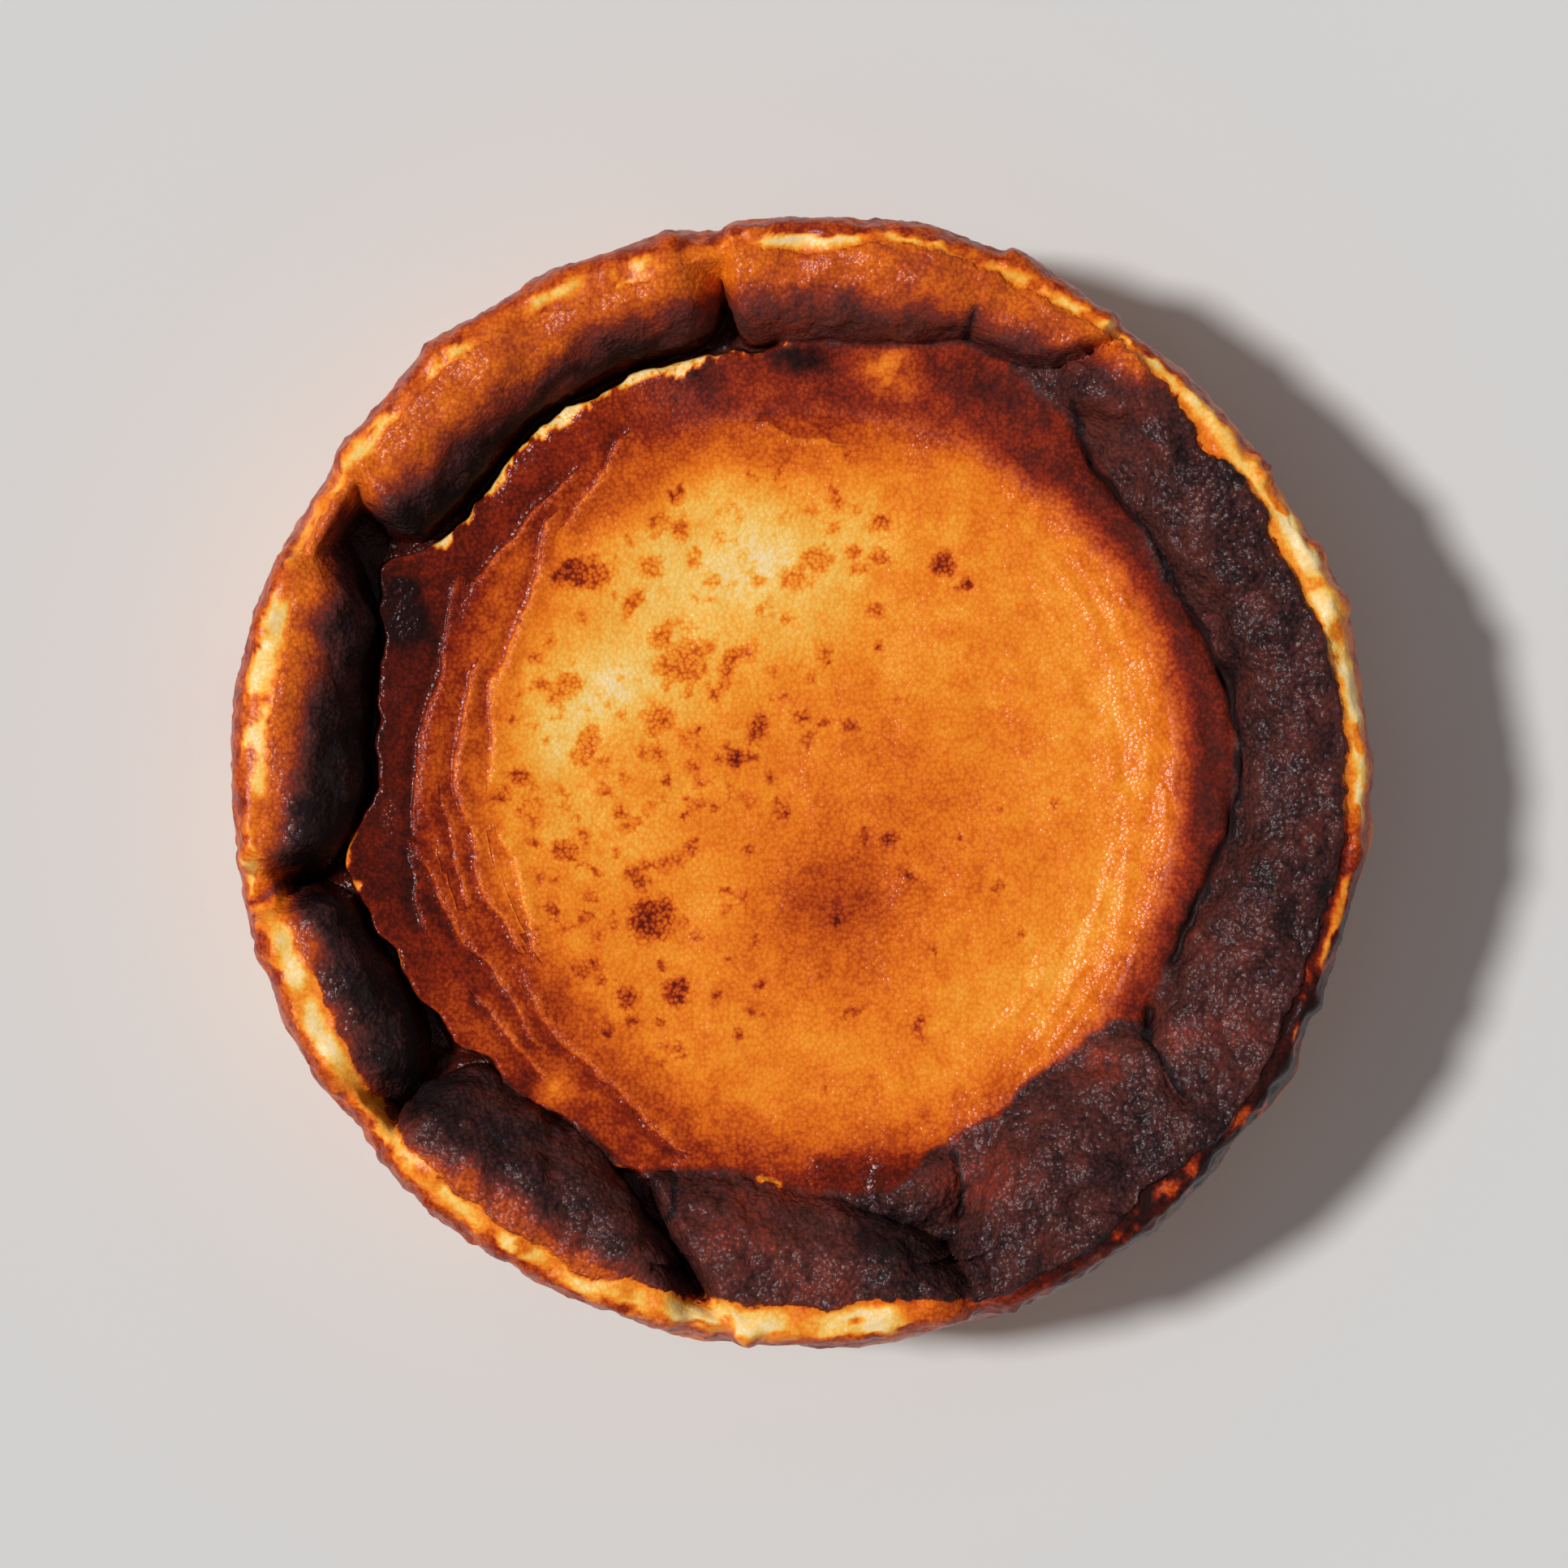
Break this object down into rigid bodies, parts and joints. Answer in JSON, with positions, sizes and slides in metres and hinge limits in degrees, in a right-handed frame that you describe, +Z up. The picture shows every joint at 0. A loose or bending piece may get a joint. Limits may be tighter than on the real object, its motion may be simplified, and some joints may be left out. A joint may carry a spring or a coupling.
{
  "type": "basque cheesecake",
  "caption": "Whole round basque cheesecake, uncut, with a puffed dark rim folded over a sunken golden middle and a deep tear beside the rim.",
  "frame": {"origin": "middle of the flat underside, at the level of the surface the cake stands on", "axes": "+Z up, +X to the picture's right and +Y to its top, as the cake is seen from straight above"},
  "size_m": [0.2003, 0.1982, 0.0618],
  "materials": {
    "browned_crust": "satin"
  },
  "bodies": {
    "root": {"cheesecake": "browned_crust"}
  },
  "joints": []
}
